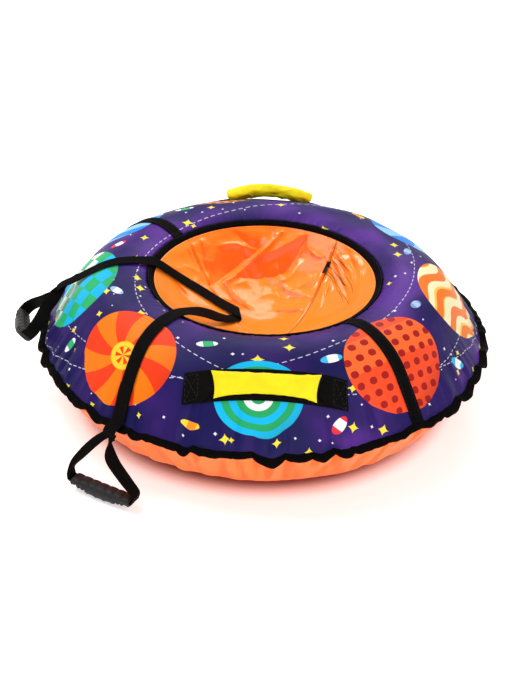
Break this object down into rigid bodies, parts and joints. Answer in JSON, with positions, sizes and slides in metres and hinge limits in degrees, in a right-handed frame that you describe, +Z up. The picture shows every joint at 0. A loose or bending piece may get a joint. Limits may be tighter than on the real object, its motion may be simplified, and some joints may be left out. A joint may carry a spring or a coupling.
{
  "type": "snow tube",
  "caption": "Round inflatable snow tube: a rubber inner tube in a sewn printed cover with a dished zipped seat, padded handles, a hand grip and a folded tow leash.",
  "frame": {"origin": "middle of the flat underside, on the ground", "axes": "+Z up, +Y from the front handle to the rear handle, +X towards the zip side"},
  "size_m": [0.9749, 0.936, 0.2836],
  "materials": {
    "printed_cloth": "satin printed oxford cloth",
    "seat_sheet": "glossy coated cloth",
    "bottom_sheet": "satin slick coated sheet",
    "black_webbing": "matte woven tape",
    "yellow_cloth": "satin cloth",
    "foam": "soft closed-cell foam",
    "butyl": "matte black rubber",
    "grey_plastic": "satin moulded plastic",
    "brass": "plain turned brass",
    "zip_metal": "dark coated die casting"
  },
  "bodies": {
    "tube": {"top_cover": "printed_cloth", "bottom_cover": "bottom_sheet", "rim_tape": "black_webbing", "opening_tape": "black_webbing", "inner_tube": "butyl", "valve_stem": "butyl", "valve_core": "brass", "seat_panel_left": "seat_sheet", "seat_panel_middle": "seat_sheet", "seat_panel_right": "seat_sheet", "zip_chain": "seat_sheet", "back_left_strap": "black_webbing", "front_right_strap": "black_webbing", "front_handle_base_strip": "black_webbing", "front_handle_webbing": "black_webbing", "front_handle_foam": "foam", "front_handle_sleeve": "yellow_cloth", "rear_handle_base_strip": "black_webbing", "rear_handle_webbing": "black_webbing", "rear_handle_foam": "foam", "rear_handle_sleeve": "yellow_cloth", "leash_grip": "grey_plastic", "leash_grip_loop": "black_webbing", "leash_webbing": "black_webbing"},
    "zip_slider": {"zip_slider": "zip_metal"},
    "zip_pull": {"zip_pull": "zip_metal"},
    "valve_cap": {"valve_cap": "grey_plastic"},
    "front_grip": {"front_grip": "grey_plastic", "front_grip_loop": "black_webbing"}
  },
  "joints": [
    {"name": "zip_slider_travel", "type": "hinge", "parent": "tube", "child": "zip_slider", "pos_m": [0.07878, -0.02914, 0.50444], "axis": [0.9379, -0.3469, 0], "range_deg": [-54, 4]},
    {"name": "zip_pull_swing", "type": "hinge", "parent": "zip_slider", "child": "zip_pull", "pos_m": [0.13153, 0.11679, 0.22566], "axis": [-0.8654, 0.4504, -0.2196], "range_deg": [0, 150]},
    {"name": "valve_cap_turn", "type": "hinge", "parent": "tube", "child": "valve_cap", "pos_m": [0.16336, 0.06196, 0.13665], "axis": [-0.935, -0.3546, 0], "continuous": true},
    {"name": "front_grip_swing", "type": "hinge", "parent": "tube", "child": "front_grip", "pos_m": [-0.27915, -0.37725, 0.1288], "axis": [-0.8039, 0.5948, 0], "range_deg": [0, 100]}
  ]
}
